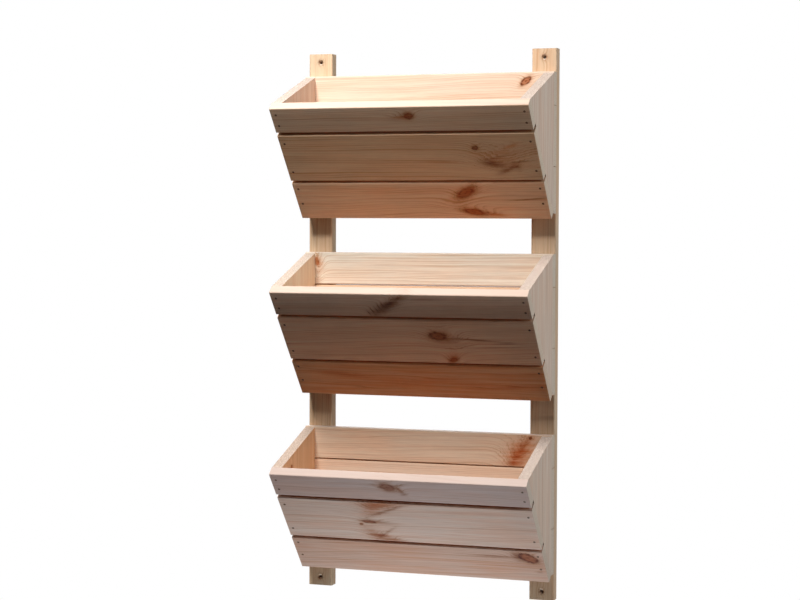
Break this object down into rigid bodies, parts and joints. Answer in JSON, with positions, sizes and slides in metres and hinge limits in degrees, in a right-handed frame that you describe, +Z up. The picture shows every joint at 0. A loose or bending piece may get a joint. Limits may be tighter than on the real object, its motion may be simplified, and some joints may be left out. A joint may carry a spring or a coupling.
{
  "type": "wall planter",
  "caption": "Timber wall planter: V-shaped slatted troughs stacked on upright stiles, with screw holes in the stile ends for hanging on a wall.",
  "frame": {"origin": "centre of the pattern of the four wall screw holes, on the wall plane at the stiles' backs", "axes": "+Z up along the stiles, +X to the right seen from the front, +Y into the wall, so the troughs face -Y"},
  "size_m": [0.456, 0.2094, 0.956],
  "materials": {
    "stile_timber": "planed softwood, unpainted",
    "panel_timber": "planed softwood, unpainted",
    "board_timber": "planed softwood, unpainted",
    "nail_steel": "dull, weathered",
    "screw_steel": "zinc plated"
  },
  "bodies": {
    "root": {"stile_left": "stile_timber", "stile_right": "stile_timber", "top_side_panel_left": "panel_timber", "top_side_panel_right": "panel_timber", "top_front_board_upper": "board_timber", "top_front_board_middle": "board_timber", "top_front_board_lower": "board_timber", "top_back_board_upper": "board_timber", "top_back_board_middle": "board_timber", "top_back_board_lower": "board_timber", "top_front_nails": "nail_steel", "top_back_nails": "nail_steel", "top_box_screws": "screw_steel", "middle_side_panel_left": "panel_timber", "middle_side_panel_right": "panel_timber", "middle_front_board_upper": "board_timber", "middle_front_board_middle": "board_timber", "middle_front_board_lower": "board_timber", "middle_back_board_upper": "board_timber", "middle_back_board_middle": "board_timber", "middle_back_board_lower": "board_timber", "middle_front_nails": "nail_steel", "middle_back_nails": "nail_steel", "middle_box_screws": "screw_steel", "bottom_side_panel_left": "panel_timber", "bottom_side_panel_right": "panel_timber", "bottom_front_board_upper": "board_timber", "bottom_front_board_middle": "board_timber", "bottom_front_board_lower": "board_timber", "bottom_back_board_upper": "board_timber", "bottom_back_board_middle": "board_timber", "bottom_back_board_lower": "board_timber", "bottom_front_nails": "nail_steel", "bottom_back_nails": "nail_steel", "bottom_box_screws": "screw_steel"}
  },
  "joints": []
}
